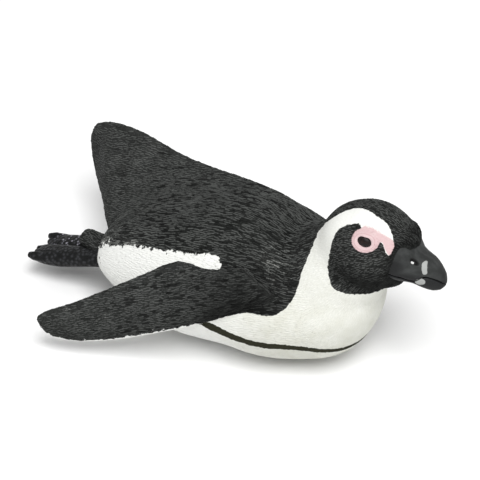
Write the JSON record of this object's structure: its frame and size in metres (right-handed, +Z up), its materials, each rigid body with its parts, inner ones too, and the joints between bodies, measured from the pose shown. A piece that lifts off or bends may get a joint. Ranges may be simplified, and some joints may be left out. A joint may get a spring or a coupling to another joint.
{
  "type": "african penguin toy figurine",
  "caption": "Hand-painted vinyl toy figurine of an African penguin lying on its belly with its head up, one flipper low beside the body and the other raised.",
  "frame": {"origin": "on the floor, below the middle of the figurine's bounding box", "axes": "+X towards the head, +Y to the bird's left, +Z up from the floor that the belly lies on"},
  "size_m": [0.0966, 0.0508, 0.0408],
  "materials": {
    "plumage": "matte hand-painted vinyl: near-black back, white belly and head stripes, moulded feather relief",
    "bill": "satin dark grey paint with pale grey bands",
    "eye": "dark brown gloss paint",
    "feet": "semi-gloss near-black paint"
  },
  "bodies": {
    "root": {"trunk": "plumage", "neck": "plumage", "head": "plumage", "flipper_right": "plumage", "flipper_left": "plumage", "tail": "plumage", "bill_upper": "bill", "bill_lower": "bill", "eye_right": "eye", "eye_left": "eye", "foot_right": "feet", "foot_left": "feet"}
  },
  "joints": []
}
